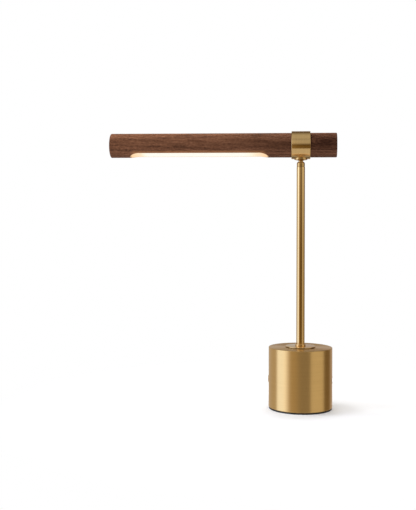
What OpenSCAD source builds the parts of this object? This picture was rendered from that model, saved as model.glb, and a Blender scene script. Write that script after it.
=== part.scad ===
// Desk lamp: a walnut light bar held by a brass collar on a slim pole, over a heavy brass drum.
// The origin is under the drum on the pole's axis, +Z is up, -Y is the front,
// and the bar runs along X with its long arm towards -X.

/* [Overall] */
// Height of the lamp, from the table to the top of the collar
lamp_h = 355.6; // [330:0.1:400]

/* [Drum base] */
// Diameter of the brass drum
base_d = 81.2; // [80:0.1:96]
// Height of the drum's top above the table
base_h = 78.1; // [74:0.1:96]
// Wall of the drum
shell_wall = 2; // [1.5:0.1:3]
// Thickness of the drum's closed top
shell_top = 2.2; // [1.5:0.1:4]
// Radius that breaks the drum's top and bottom edges
shell_edge = 0.6; // [0.3:0.1:1.2]
// Thickness of the foot pad, which lifts the drum off the table
foot_t = 2.1; // [1:0.1:3]
// How far the foot pad stays inside the drum's side
foot_inset = 0.5; // [0.5:0.1:1.8]
// Thickness of the steel bottom plate
plate_t = 3; // [2.5:0.1:4]
// Height of the cast weight
weight_h = 18.4; // [14:0.1:22]
// Bevel of the cast weight's edges
weight_bevel = 1; // [0.5:0.1:2]
// Thickness of the clamp plate under the drum's top
clamp_t = 2.5; // [1.5:0.1:4]
// Diameter of the three pillars that tie the weight to the clamp plate
pillar_d = 8; // [6:0.1:9]
// Distance of a pillar's centre from the drum's inner wall
pillar_inset = 10.8; // [9.5:0.1:12]
// Diameter of the long bottom screws
base_screw_d = 4; // [3:0.1:4.5]
// How far a bottom screw bites into its pillar
base_screw_bite = 10; // [6:0.5:14]

/* [Pole] */
// Diameter of the pole
pole_d = 10.7; // [10.4:0.1:13]
// Bore of the pole, which is also the thread size of the nipple
pole_bore = 8; // [7.8:0.1:8.4]
// Bore of the threaded nipple
nipple_bore = 5.2; // [4.4:0.1:5.6]
// Length of the nipple inside the pole
nipple_bite = 25; // [15:1:40]
// Diameter of the raised disc under the pole
disc_d = 38.6; // [30:0.1:50]
// Thickness of the raised disc
disc_t = 1.5; // [1:0.1:3]
// Diameter of the bead around the pole's foot
bead_d = 13.5; // [12.8:0.1:18]
// Height of the bead
bead_h = 2.3; // [1.5:0.1:4]

/* [Swivel] */
// Diameter of the turning cap on the pole
cap_d = 10.3; // [9.6:0.1:10.7]
// Height of the turning cap
cap_h = 6.5; // [5:0.1:9]
// Diameter of the neck above the cap
neck_d = 6.1; // [6:0.1:6.8]
// Height of the neck
neck_h = 1.6; // [1.2:0.1:3]
// Diameter of the saddle under the collar
saddle_d = 17; // [14:0.1:22]
// Thickness of the saddle below the collar's lowest line
saddle_t = 1.9; // [1.5:0.1:3]
// Height of the saddle's thin rim at its sides
saddle_rim = 0.8; // [0.4:0.1:1.2]
// Thickness of the friction washer in the seam under the cap
seam_t = 0.3; // [0.2:0.1:0.6]
// Diameter of the spindle inside the pole
spindle_d = 5.8; // [5.6:0.1:5.9]
// Length of the spindle below the cap
spindle_l = 24; // [22:0.5:30]
// Bore for the lead through the spindle
lead_bore = 3.4; // [3.2:0.1:3.6]
// Length of the swivel bush
bush_l = 18; // [14:0.5:18]
// Turn of the head to each side, before its stop pin meets the stop
swivel_limit = 160; // [120:1:160]

/* [Collar] */
// Width of the collar along the bar
collar_w = 24.2; // [20:0.1:32]
// Wall of the collar
collar_wall = 1.6; // [1.2:0.1:2.4]
// Bevel of the collar's edges
collar_edge = 0.4; // [0.2:0.1:0.8]
// Thickness of the liner between the collar and the bar
liner_t = 0.55; // [0.4:0.05:1]

/* [Walnut bar] */
// Diameter of the bar
bar_d = 31.7; // [31:0.02:36]
// Reach of the long arm from the pole's axis
arm_long = 248.5; // [240:0.5:300]
// Reach of the short arm from the pole's axis
arm_short = 46; // [30:0.5:90]
// Radius that rounds the rims of the bar's ends
bar_edge = 1.2; // [0.5:0.1:2]
// Depth of the light flat below the round of the bar
flat_depth = 3.3; // [3:0.1:4]
// Distance of the light flat from the long arm's end
flat_inset = 25; // [15:0.5:40]
// Distance of the light flat from the pole's axis
flat_gap = 40.6; // [30:0.1:60]
// Radius of the hollow ramp at each end of the flat
ramp_r = 32.5; // [20:0.5:40]
// Roll of the light towards the front as the lamp stands
roll_rest = 12; // [0:1:40]
// Roll of the light to each side of straight down
roll_limit = 50; // [30:1:70]

/* [Light] */
// Width of the light channel and its cover
channel_w = 16.9; // [15:0.1:17.2]
// Depth of the light channel with its cover
channel_h = 8; // [7.5:0.1:8.5]
// Wall of the light channel's sides
channel_wall = 1; // [0.8:0.1:1.4]
// Floor of the light channel
channel_floor = 1.6; // [1.2:0.1:1.8]
// How far the cover lies below the flat
cover_sink = 0.18; // [0.1:0.02:0.5]
// Thickness of the light cover
cover_t = 1.2; // [1:0.1:1.4]
// Width of the light board
strip_w = 10; // [8:0.1:11.5]
// Thickness of the light board
strip_t = 1; // [0.8:0.1:1.2]
// Free length of the channel beyond each end of the light board
strip_inset = 7.5; // [7:0.5:12]
// Distance from one light emitter to the next
emitter_pitch = 7.5; // [6:0.5:15]

/* [Ports] */
// Diameter of the push button
button_d = 7.8; // [6:0.1:8]
// How far the button stands out of the drum
button_proud = 0.5; // [0.4:0.1:1.6]
// Travel of the button
button_travel = 0.6; // [0.3:0.1:0.7]
// Outer diameter of the button's ring
button_ring_d = 9.6; // [9.4:0.1:12]
// How far the port rings stand out of the drum
ring_proud = 0.2; // [0.2:0.1:0.6]
// Width of the charging port's mouth
usb_w = 12.5; // [12.5:0.1:12.8]
// Height of the charging port's mouth
usb_h = 5.1; // [5.1:0.1:5.3]
// Sheet of the charging port's metal shell
usb_wall = 0.4; // [0.3:0.05:0.5]
// Depth of the charging port's metal shell
usb_depth = 16; // [14:0.5:18]
// Bore of the power inlet
inlet_bore = 6.3; // [6:0.1:6.5]
// Diameter of the power inlet's centre pin
inlet_pin_d = 2.1; // [2:0.1:2.5]
// Diameter of the power inlet's nose
inlet_nose_d = 8.2; // [8:0.1:8.6]
// Height of the stand-offs under the circuit board
standoff_h = 9; // [6:0.1:10]
// Thickness of the circuit board
board_t = 1.6; // [1:0.1:2]

/* [Hidden] */
$fn = 96;

// Fits and clearances
over = 1;          // overrun of every cut
press_fit = 0.01;  // gap of a pressed or screwed joint, on the radius
slide_fit = 0.05;  // gap of a running joint, on the radius
loose_fit = 0.15;  // gap around what is only dropped in
body_gap = 0.3;    // gap between pieces that pass each other

// Drum base
base_r = base_d / 2;
shell_r = base_r - shell_wall;
plate_top = foot_t + plate_t;
weight_top = plate_top + weight_h;
weight_gap = 0.4;
weight_r = shell_r - weight_gap;
ceiling_z = base_h - shell_top;
clamp_z = ceiling_z - clamp_t;
clamp_rim = 4.8;
pillar_r = pillar_d / 2;
pillar_ring = shell_r - pillar_inset;
pillar_angles = [45, 135, 270];
pillar_spigot_share = 0.5;
spigot_r = pillar_r * pillar_spigot_share;
base_screw_r = base_screw_d / 2;
screw_head_share = 2;
screw_key_share = 1.1;
screw_key_depth_share = 0.6;
tap_spare = 2;
hex_sides = 6;

// Pole and its clamp
pole_r = pole_d / 2;
nipple_r = pole_bore / 2 - press_fit;
nipple_hole_r = pole_bore / 2 + press_fit;
clamp_washer_t = 1.2;
clamp_washer_share = 2;
clamp_nut_af = 13;
clamp_nut_h = 5;
nipple_tail = 3;
nipple_z = clamp_z - clamp_washer_t - clamp_nut_h - nipple_tail;
pole_z = base_h + disc_t;
disc_edge = 0.5;

// Collar, saddle and swivel, from the top down
bar_r = bar_d / 2;
liner_bore_r = bar_r + slide_fit;
collar_bore_r = liner_bore_r + liner_t + press_fit;
collar_r = collar_bore_r + collar_wall;
bar_z = lamp_h - collar_r;
collar_low = bar_z - collar_r;
saddle_z = collar_low - saddle_t;
neck_z = saddle_z - neck_h;
cap_z = neck_z - cap_h;
pole_top = cap_z - seam_t;
neck_r = neck_d / 2;
neck_flare = 0.4;
cap_r = cap_d / 2;
cap_round = cap_r - neck_r;
spindle_r = spindle_d / 2;
spindle_z = cap_z - spindle_l;
stem_hole_r = spindle_r + press_fit;
lead_bore_r = lead_bore / 2;
lead_r = lead_bore_r - loose_fit - slide_fit;

// Swivel bush, its stop and what holds the spindle down
bush_r = pole_bore / 2 - press_fit;
bush_bore_r = spindle_r + slide_fit;
bush_z = pole_top - bush_l;
stop_pin_d = 1.2;
stop_pin_r = stop_pin_d / 2;
stop_room_h = 2.4;
stop_wall = 0.3;
stop_room_r = bush_r - stop_wall;
stop_pin_reach = stop_room_r - loose_fit;
stop_pin_root = (lead_bore_r + spindle_r) / 2;
stop_pin_z = pole_top - stop_room_h / 2;
stop_spare_angle = 0.8;
stop_half_angle = 180 - swivel_limit - asin(stop_pin_r / spindle_r) - stop_spare_angle;
spring_t = 0.35;
spring_cone = 0.25;
spring_rim_gap = 0.25;
spring_r = bush_r - spring_rim_gap;
spring_pair_h = 2 * (spring_t + spring_cone);
spindle_nut_h = 2.5;
spindle_nut_r = bush_r - body_gap;
nut_slot_w = 1;
nut_slot_depth = 0.5;

// Walnut bar, drawn about its own axis with the light facing straight down
flat_z = -(bar_r - flat_depth);
ramp_l = sqrt(ramp_r * ramp_r - (ramp_r - flat_depth) * (ramp_r - flat_depth));
flat_x0 = -arm_long + flat_inset + ramp_l;
flat_x1 = -flat_gap - ramp_l;
pocket_margin = 0.8;
pocket_x0 = flat_x0 + pocket_margin;
pocket_x1 = flat_x1 - pocket_margin;
pocket_w = channel_w + 2 * loose_fit;
cover_z = flat_z + cover_sink;
pocket_top = cover_z + channel_h;
slot_depth = 2.5;
slot_floor_r = bar_r - slot_depth;
slot_half_w = spindle_r + 2 * slide_fit;
stem_tip_gap = 0.6;
stem_tip_r = slot_floor_r + stem_tip_gap;
feed_hole_r = 2.2;

// Light channel and what it holds
channel_x0 = pocket_x0 + loose_fit;
channel_x1 = pocket_x1 - loose_fit;
channel_l = channel_x1 - channel_x0;
channel_mouth = cover_z + cover_t;
strip_z = pocket_top - channel_floor;
strip_x0 = channel_x0 + strip_inset;
strip_x1 = channel_x1 - strip_inset;
emitter_l = 3.5;
emitter_w = 2.8;
emitter_t = 0.6;
emitter_lens_d = 2.2;
emitter_lens_t = 0.1;
emitter_n = floor((strip_x1 - strip_x0 - emitter_pitch) / emitter_pitch) + 1;
cover_leg_t = 0.9;
cover_leg_h = 1.8;
wood_screw_d = 2.4;
wood_screw_r = wood_screw_d / 2;
wood_screw_l = 8;
wood_screw_places = [channel_x0 + strip_inset / 2, channel_x1 - strip_inset / 2];
lead_z = strip_z - strip_t - slide_fit - lead_r;
lead_lap = 1.5;

// Circuit board and ports
board_z = weight_top + standoff_h;
board_top = board_z + board_t;
standoff_r = 2.5;
standoff_ring_share = 0.8;
standoff_ring = shell_r * standoff_ring_share;
standoff_angles = [66, 225, 315];
board_screw_r = 1.2;
board_screw_bite = 5;
board_screw_head_h = 1.6;
board_screw_head_r = 2.2;
port_z = board_top + usb_wall + usb_h / 2;
usb_sink = 0.4;
usb_face = base_r - usb_sink;
usb_back = usb_face - usb_depth;
usb_out_w = usb_w + 2 * usb_wall;
usb_out_h = usb_h + 2 * usb_wall;
usb_block_l = 4;
usb_tongue_w = 11;
usb_tongue_t = 1.84;
usb_tongue_l = 9.5;
usb_tongue_drop = 0.9;
usb_contact_n = 4;
usb_contact_w = 1;
usb_contact_l = 7.5;
usb_contact_t = 0.15;
usb_contact_pitch = 2.3;
usb_neck = 0.9;
usb_flange = 1.4;
usb_ring_round = 1.6;
ring_depth = 2;

button_r = button_d / 2;
button_bore_r = button_r + slide_fit;
button_ring_r = button_ring_d / 2;
button_inner = shell_r - ring_depth;
button_lip_t = 0.8;
button_lip_reach = 0.6;
button_round = 0.5;
button_root = button_inner - button_lip_t;
board_r = button_root - button_travel - body_gap;
plunger_r = 1.6;
plunger_out = 1.2;
plunger_in = 0.8;
switch_face = button_root - plunger_out;
switch_h = 2 * (port_z - board_top);
switch_t = 4.3;

inlet_axis_h = 6.2;
inlet_z = board_top + inlet_axis_h;
inlet_face = base_r + ring_proud;
inlet_w = 9;
inlet_h = 10.6;
inlet_l = 13;
inlet_back_gap = 2.2;
inlet_front = shell_r - inlet_back_gap;
inlet_depth = 9.5;
inlet_pin_l = 8.6;
inlet_neck = 1;
inlet_flange = 1.2;
inlet_ring_depth = 1.5;
inlet_ring_r = inlet_nose_d / 2 + slide_fit;

plug_w = 6;
plug_h = 7;

chip_place_shares = [[-0.34, -0.26], [-0.6, 0.09], [0.26, 0.26], [-0.23, 0.4]];
chip_sizes = [[7, 7], [5, 6], [5, 4], [6, 5]];
chip_t = 1.1;
capacitor_r = 3.15;
capacitor_h = 11;
capacitor_edge = 0.5;
capacitor_place_shares = [[0.36, -0.34], [0.34, -0.57], [-0.29, -0.57]];
coil_r = 5;
coil_h = 5.5;
coil_flange_t = 0.9;
coil_core_share = 0.55;
coil_y = -(pillar_ring - pillar_r + plug_w / 2) / 2;

brass = [0.76, 0.6, 0.36];
brass_dark = [0.62, 0.47, 0.26];
steel = [0.72, 0.72, 0.74];
black = [0.07, 0.07, 0.07];
walnut = [0.33, 0.2, 0.14];

// A tube standing on z0
module tube(r_out, r_in, z0, h) {
    translate([0, 0, z0]) difference() {
        cylinder(r = r_out, h = h);
        translate([0, 0, -over]) cylinder(r = r_in, h = h + 2 * over);
    }
}

// Half section of a disc or ring with its outer corners rounded
module ring_section(r_in, r_out, h, top_round, low_round) {
    difference() {
        translate([r_in, 0]) square([r_out - r_in, h]);
        if (top_round > 0) difference() {
            translate([r_out - top_round, h - top_round]) square(top_round + over);
            translate([r_out - top_round, h - top_round]) circle(r = top_round);
        }
        if (low_round > 0) difference() {
            translate([r_out - low_round, -over]) square([low_round + over, low_round + over]);
            translate([r_out - low_round, low_round]) circle(r = low_round);
        }
    }
}

// A rectangle with round corners, centred
module soft_rect(w, h, r) {
    square([w - 2 * r, h], center = true);
    square([w, h - 2 * r], center = true);
    for (sx = [-1, 1], sy = [-1, 1])
        translate([sx * (w / 2 - r), sy * (h / 2 - r)]) circle(r = r);
}

// Turns a drawing so that its X runs along Y, its Y up, and its height along X
module along_x(x0, x1) {
    translate([x0, 0, 0]) rotate([90, 0, 90]) linear_extrude(height = x1 - x0) children();
}

// A round bar along X
module rod_x(r, x0, x1) {
    translate([x0, 0, 0]) rotate([0, 90, 0]) cylinder(r = r, h = x1 - x0);
}

// Copies on a ring
module on_ring(radius, angles) {
    for (a = angles) rotate([0, 0, a]) translate([radius, 0, 0]) children();
}

// The bar's own frame: its axis along X, rolled as the lamp stands
module in_bar() {
    translate([0, 0, bar_z]) rotate([-roll_rest, 0, 0]) children();
}

// The button's own frame: +Z points out of the drum, towards -X
module at_button() {
    translate([0, 0, port_z]) rotate([0, -90, 0]) children();
}

// The inlet's own frame: +Z points out of the drum's back
module at_inlet() {
    translate([0, 0, inlet_z]) rotate([-90, 0, 0]) children();
}

// A band of the drum's wall between two radii
module drum_band(r_in, r_out) {
    tube(r_out, r_in, foot_t, base_h - foot_t);
}

// A screw with a flush head and a hex key hole; its head faces -Z at z 0
module flush_screw(r, length) {
    head_r = r * screw_head_share;
    difference() {
        union() {
            cylinder(r1 = head_r, r2 = r, h = head_r - r);
            cylinder(r = r, h = length);
        }
        translate([0, 0, -over])
            cylinder(r = r * screw_key_share, h = over + r * screw_key_depth_share, $fn = hex_sides);
    }
}

// The hole for a flush screw
module flush_hole(r, length) {
    translate([0, 0, -over]) cylinder(r = r + loose_fit, h = length + 2 * over);
    head_r = r * screw_head_share + loose_fit;
    cylinder(r1 = head_r, r2 = r + loose_fit, h = head_r - r - loose_fit);
    translate([0, 0, -over]) cylinder(r = head_r, h = over);
}

module foot_pad() {
    color(black) cylinder(r = base_r - foot_inset, h = foot_t);
}

module base_plate() {
    color([0.2, 0.2, 0.21]) translate([0, 0, foot_t]) difference() {
        cylinder(r = shell_r - loose_fit, h = plate_t);
        on_ring(pillar_ring, pillar_angles) flush_hole(base_screw_r, plate_t);
    }
}

module base_screws() {
    color(steel) on_ring(pillar_ring, pillar_angles)
        translate([0, 0, foot_t]) flush_screw(base_screw_r, plate_t + weight_h + base_screw_bite);
}

module base_weight() {
    color([0.3, 0.3, 0.31]) translate([0, 0, plate_top]) difference() {
        rotate_extrude() polygon([
            [0, 0], [weight_r - weight_bevel, 0], [weight_r, weight_bevel],
            [weight_r, weight_h - weight_bevel], [weight_r - weight_bevel, weight_h], [0, weight_h]
        ]);
        on_ring(pillar_ring, pillar_angles) translate([0, 0, -over])
            cylinder(r = base_screw_r + loose_fit, h = weight_h + 2 * over);
        on_ring(standoff_ring, standoff_angles) translate([0, 0, weight_h - board_screw_bite - tap_spare])
            cylinder(r = board_screw_r + press_fit, h = board_screw_bite + tap_spare + over);
    }
}

module base_shell() {
    wall_h = base_h - foot_t;
    color(brass) difference() {
        translate([0, 0, foot_t]) rotate_extrude()
            ring_section(0, base_r, wall_h, shell_edge, shell_edge);
        translate([0, 0, foot_t - over]) cylinder(r = shell_r, h = wall_h - shell_top + over);
        cylinder(r = nipple_hole_r, h = base_h + over);
        at_button() cylinder(r = button_ring_r + press_fit, h = base_r + over);
        at_inlet() cylinder(r = inlet_ring_r + inlet_neck + press_fit, h = base_r + over);
        translate([0, 0, port_z]) along_x(0, base_r + over)
            soft_rect(usb_out_w + 2 * usb_neck + 2 * press_fit, usb_out_h + 2 * usb_neck + 2 * press_fit,
                usb_ring_round);
    }
}

module pillars() {
    color(steel) on_ring(pillar_ring, pillar_angles) difference() {
        union() {
            translate([0, 0, weight_top]) cylinder(r = pillar_r, h = clamp_z - weight_top);
            translate([0, 0, weight_top]) cylinder(r = spigot_r, h = ceiling_z - weight_top);
        }
        translate([0, 0, weight_top - over])
            cylinder(r = base_screw_r + press_fit, h = base_screw_bite + tap_spare + over);
    }
}

module clamp_plate() {
    color([0.6, 0.6, 0.62]) translate([0, 0, clamp_z]) difference() {
        cylinder(r = shell_r - clamp_rim, h = clamp_t);
        translate([0, 0, -over]) cylinder(r = nipple_hole_r, h = clamp_t + 2 * over);
        on_ring(pillar_ring, pillar_angles) translate([0, 0, -over])
            cylinder(r = spigot_r + press_fit, h = clamp_t + 2 * over);
    }
}

module clamp_washer() {
    color(steel) tube(nipple_r * clamp_washer_share, nipple_hole_r, clamp_z - clamp_washer_t, clamp_washer_t);
}

module clamp_nut() {
    color(steel) translate([0, 0, clamp_z - clamp_washer_t - clamp_nut_h]) difference() {
        cylinder(r = clamp_nut_af / 2 / cos(180 / hex_sides), h = clamp_nut_h, $fn = hex_sides);
        translate([0, 0, -over]) cylinder(r = nipple_hole_r, h = clamp_nut_h + 2 * over);
    }
}

module nipple() {
    color([0.7, 0.68, 0.6]) tube(nipple_r, nipple_bore / 2, nipple_z, pole_z + nipple_bite - nipple_z);
}

module pole_disc() {
    color(brass) translate([0, 0, base_h])
        rotate_extrude() ring_section(nipple_hole_r, disc_d / 2, disc_t, disc_edge, 0);
}

module pole_bead() {
    bead_w = bead_d / 2 - pole_r - press_fit;
    bead_round = min(bead_w, bead_h / 2);
    color(brass) translate([0, 0, pole_z]) rotate_extrude()
        ring_section(pole_r + press_fit, bead_d / 2, bead_h, bead_round, bead_round);
}

module pole_tube() {
    color(brass) tube(pole_r, pole_bore / 2, pole_z, pole_top - pole_z);
}

module swivel_bush() {
    color(brass_dark) difference() {
        tube(bush_r, bush_bore_r, bush_z, bush_l);
        translate([0, 0, pole_top - stop_room_h]) rotate([0, 0, 90 + stop_half_angle])
            rotate_extrude(angle = 360 - 2 * stop_half_angle)
                square([stop_room_r, stop_room_h + over]);
    }
}

module seam_washer() {
    color(black) tube(cap_r - body_gap, spindle_r + loose_fit, pole_top, seam_t);
}

module swivel_stem() {
    color(brass) difference() {
        union() {
            translate([0, 0, spindle_z]) cylinder(r = spindle_r, h = bar_z - stem_tip_r - spindle_z);
            translate([0, 0, cap_z]) rotate_extrude() ring_section(0, cap_r, cap_h, cap_round, 0);
            translate([0, 0, cap_z]) cylinder(r = neck_r, h = saddle_z - cap_z);
            translate([0, 0, saddle_z - neck_flare])
                cylinder(r1 = neck_r, r2 = neck_r + neck_flare, h = neck_flare);
        }
        translate([0, 0, spindle_z - over])
            cylinder(r = lead_bore_r, h = bar_z - spindle_z + over);
        translate([0, 0, stop_pin_z]) rotate([90, 0, 0]) translate([0, 0, stop_pin_root])
            cylinder(r = stop_pin_r + press_fit, h = spindle_r);
    }
}

module saddle() {
    saddle_r = saddle_d / 2;
    color(brass) difference() {
        translate([0, 0, saddle_z]) rotate_extrude() polygon([
            [stem_hole_r, 0], [neck_r + neck_flare, 0], [saddle_r, saddle_t - saddle_rim],
            [saddle_r, saddle_t + collar_r], [stem_hole_r, saddle_t + collar_r]
        ]);
        translate([0, 0, bar_z]) rod_x(collar_r, -saddle_d, saddle_d);
        translate([-saddle_d, -saddle_d, bar_z]) cube([2 * saddle_d, 2 * saddle_d, saddle_d + collar_r]);
    }
}

module collar_ring() {
    color(brass) difference() {
        translate([0, 0, bar_z]) rotate([0, 90, 0]) translate([0, 0, -collar_w / 2])
            rotate_extrude() polygon([
                [collar_bore_r, 0], [collar_r - collar_edge, 0], [collar_r, collar_edge],
                [collar_r, collar_w - collar_edge], [collar_r - collar_edge, collar_w], [collar_bore_r, collar_w]
            ]);
        translate([0, 0, collar_low - over]) cylinder(r = stem_hole_r, h = collar_r);
    }
}

module collar_liner() {
    liner_w = collar_w - 2 * collar_edge;
    color([0.12, 0.1, 0.09]) difference() {
        translate([0, 0, bar_z]) rotate([0, 90, 0])
            tube(collar_bore_r - press_fit, liner_bore_r, -liner_w / 2, liner_w);
        translate([0, 0, collar_low - over]) cylinder(r = stem_hole_r, h = collar_r);
    }
}

module stop_pin() {
    color(steel) translate([0, 0, stop_pin_z]) rotate([90, 0, 0])
        translate([0, 0, stop_pin_root]) cylinder(r = stop_pin_r, h = stop_pin_reach - stop_pin_root);
}

// Two cone washers, rim to rim
module disc_springs() {
    color(steel) for (flip = [0, 1])
        translate([0, 0, bush_z - spring_pair_h / 2]) mirror([0, 0, flip]) rotate_extrude() polygon([
            [bush_bore_r, spring_cone], [spring_r, 0], [spring_r, spring_t],
            [bush_bore_r, spring_cone + spring_t]
        ]);
}

module spindle_nut() {
    color(steel) translate([0, 0, bush_z - spring_pair_h - spindle_nut_h]) difference() {
        cylinder(r = spindle_nut_r, h = spindle_nut_h);
        translate([0, 0, -over]) cylinder(r = spindle_r + press_fit, h = spindle_nut_h + 2 * over);
        translate([-pole_r, -nut_slot_w / 2, -over]) cube([pole_d, nut_slot_w, nut_slot_depth + over]);
    }
}

// The bar is left whole where the light flat, the channel, the lead and the stem's slot do not cut it
module walnut_bar() {
    color(walnut) in_bar() difference() {
        translate([-arm_long, 0, 0]) rotate([0, 90, 0]) rotate_extrude()
            ring_section(0, bar_r, arm_long + arm_short, bar_edge, bar_edge);
        translate([0, bar_r + over, 0]) rotate([90, 0, 0]) linear_extrude(height = bar_d + 2 * over) {
            for (x = [flat_x0, flat_x1]) translate([x, flat_z - ramp_r]) circle(r = ramp_r);
            translate([flat_x0, flat_z - ramp_r]) square([flat_x1 - flat_x0, ramp_r]);
        }
        translate([pocket_x0, -pocket_w / 2, flat_z - over])
            cube([pocket_x1 - pocket_x0, pocket_w, pocket_top - flat_z + over]);
        translate([0, 0, lead_z]) rod_x(lead_r + body_gap, pocket_x1 - over, feed_hole_r);
        translate([0, 0, -bar_d]) cylinder(r = feed_hole_r, h = bar_d + lead_z);
        stem_slot();
        for (x = wood_screw_places) translate([x, 0, pocket_top - over])
            cylinder(r = wood_screw_r + press_fit, h = wood_screw_l + over);
    }
}

// The slot around the bar that the stem's tip runs in, which stops the roll
module stem_slot() {
    rotate([0, 90, 0]) translate([0, 0, -slot_half_w]) rotate([0, 0, -roll_limit])
        rotate_extrude(angle = 2 * roll_limit) translate([slot_floor_r, 0])
            square([slot_depth + over, 2 * slot_half_w]);
    for (side = [-1, 1]) rotate([side * roll_limit, 0, 0])
        translate([0, 0, -bar_r - over]) cylinder(r = slot_half_w, h = slot_depth + over);
}

module light_channel() {
    color([0.75, 0.76, 0.78]) in_bar() difference() {
        translate([channel_x0, -channel_w / 2, channel_mouth])
            cube([channel_l, channel_w, pocket_top - channel_mouth]);
        translate([channel_x0 - over, -channel_w / 2 + channel_wall, channel_mouth - over])
            cube([channel_l + 2 * over, channel_w - 2 * channel_wall, strip_z - channel_mouth + over]);
        for (x = wood_screw_places) translate([x, 0, strip_z]) flush_hole(wood_screw_r, channel_floor);
    }
}

module light_board() {
    color([0.93, 0.93, 0.9]) in_bar() translate([strip_x0, -strip_w / 2, strip_z - strip_t])
        cube([strip_x1 - strip_x0, strip_w, strip_t]);
}

module light_emitters() {
    first = (strip_x0 + strip_x1 - (emitter_n - 1) * emitter_pitch) / 2;
    color([0.95, 0.85, 0.5]) in_bar() for (i = [0 : emitter_n - 1])
        translate([first + i * emitter_pitch, 0, strip_z - strip_t - emitter_t]) {
            translate([-emitter_l / 2, -emitter_w / 2, 0]) cube([emitter_l, emitter_w, emitter_t]);
            translate([0, 0, -emitter_lens_t]) cylinder(d = emitter_lens_d, h = emitter_t);
        }
}

module light_cover() {
    leg_y = channel_w / 2 - channel_wall - slide_fit - cover_leg_t;
    color([1, 0.96, 0.86]) in_bar() {
        translate([channel_x0, -channel_w / 2, cover_z]) cube([channel_l, channel_w, cover_t]);
        for (side = [0, 1]) mirror([0, side, 0])
            translate([channel_x0, leg_y, cover_z]) cube([channel_l, cover_leg_t, cover_t + cover_leg_h]);
    }
}

module channel_screws() {
    color(steel) in_bar() for (x = wood_screw_places)
        translate([x, 0, strip_z]) flush_screw(wood_screw_r, wood_screw_l);
}

// The lead from the light board, along its hole and up to the stem's slot
module bar_lead() {
    color([0.9, 0.9, 0.88]) in_bar() {
        translate([0, 0, lead_z]) rod_x(lead_r, strip_x1 - lead_lap, lead_r);
        translate([0, 0, -slot_floor_r]) cylinder(r = lead_r - slide_fit, h = slot_floor_r + lead_z);
    }
}

module head_lead() {
    color([0.9, 0.9, 0.88]) translate([0, 0, spindle_z])
        cylinder(r = lead_r, h = bar_z - stem_tip_r - spindle_z);
}

module pole_lead() {
    color([0.9, 0.9, 0.88]) translate([0, 0, board_top + plug_h])
        cylinder(r = lead_r, h = spindle_z - body_gap - board_top - plug_h);
}

module circuit_board() {
    color([0.1, 0.35, 0.2]) translate([0, 0, board_z]) difference() {
        cylinder(r = board_r, h = board_t);
        on_ring(pillar_ring, pillar_angles) translate([0, 0, -over])
            cylinder(r = pillar_r + loose_fit, h = board_t + 2 * over);
        on_ring(standoff_ring, standoff_angles) translate([0, 0, -over])
            cylinder(r = board_screw_r + loose_fit, h = board_t + 2 * over);
    }
}

module board_standoffs() {
    color(brass_dark) on_ring(standoff_ring, standoff_angles)
        tube(standoff_r, board_screw_r + loose_fit, weight_top, standoff_h);
}

module board_screws() {
    color(steel) on_ring(standoff_ring, standoff_angles) difference() {
        union() {
            translate([0, 0, weight_top - board_screw_bite])
                cylinder(r = board_screw_r, h = board_screw_bite + standoff_h + board_t);
            translate([0, 0, board_top]) cylinder(r = board_screw_head_r, h = board_screw_head_h);
        }
        translate([0, 0, board_top + board_screw_head_h / 2])
            cylinder(r = board_screw_r, h = board_screw_head_h, $fn = hex_sides);
    }
}

module control_chips() {
    color(black) for (i = [0 : len(chip_sizes) - 1]) {
        place = board_r * chip_place_shares[i];
        size = chip_sizes[i];
        translate([place[0] - size[0] / 2, place[1] - size[1] / 2, board_top]) cube([size[0], size[1], chip_t]);
    }
}

module capacitors() {
    color([0.15, 0.17, 0.3]) for (share = capacitor_place_shares)
        translate([board_r * share[0], board_r * share[1], board_top]) rotate_extrude()
            ring_section(0, capacitor_r, capacitor_h, capacitor_edge, 0);
}

module power_coil() {
    color([0.65, 0.35, 0.15]) translate([0, coil_y, board_top]) {
        cylinder(r = coil_r, h = coil_flange_t);
        cylinder(r = coil_r * sqrt(coil_core_share), h = coil_h);
        translate([0, 0, coil_h - coil_flange_t]) cylinder(r = coil_r, h = coil_flange_t);
    }
}

module switch_body() {
    color([0.15, 0.15, 0.16]) difference() {
        translate([-switch_face, -switch_h / 2, port_z - switch_h / 2])
            cube([switch_t, switch_h, switch_h]);
        at_button() translate([0, 0, switch_face - plunger_in - button_travel - loose_fit])
            cylinder(r = plunger_r + slide_fit, h = plunger_in + button_travel + over);
    }
}

module button_ring() {
    color(brass) at_button() tube(button_ring_r, button_bore_r, button_inner,
        base_r + ring_proud - button_inner);
}

module button_cap() {
    color(brass) at_button() {
        translate([0, 0, button_root]) cylinder(r = button_r + button_lip_reach, h = button_lip_t);
        translate([0, 0, button_root]) rotate_extrude()
            ring_section(0, button_r, base_r + button_proud - button_root, button_round, 0);
    }
}

module button_plunger() {
    color([0.85, 0.84, 0.8]) at_button() translate([0, 0, switch_face - plunger_in])
        cylinder(r = plunger_r, h = plunger_in + plunger_out);
}

module usb_shell() {
    color(steel) translate([0, 0, port_z]) difference() {
        along_x(usb_back, usb_face) square([usb_out_w, usb_out_h], center = true);
        along_x(usb_back + usb_wall, usb_face + over) square([usb_w, usb_h], center = true);
    }
}

module usb_tongue() {
    tongue_z = port_z + usb_h / 2 - usb_tongue_drop - usb_tongue_t / 2;
    block_x = usb_back + usb_wall;
    color([0.92, 0.92, 0.9]) {
        translate([0, 0, port_z]) along_x(block_x, block_x + usb_block_l)
            square([usb_w, usb_h], center = true);
        translate([0, 0, tongue_z]) along_x(block_x, block_x + usb_block_l + usb_tongue_l)
            square([usb_tongue_w, usb_tongue_t], center = true);
    }
}

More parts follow.
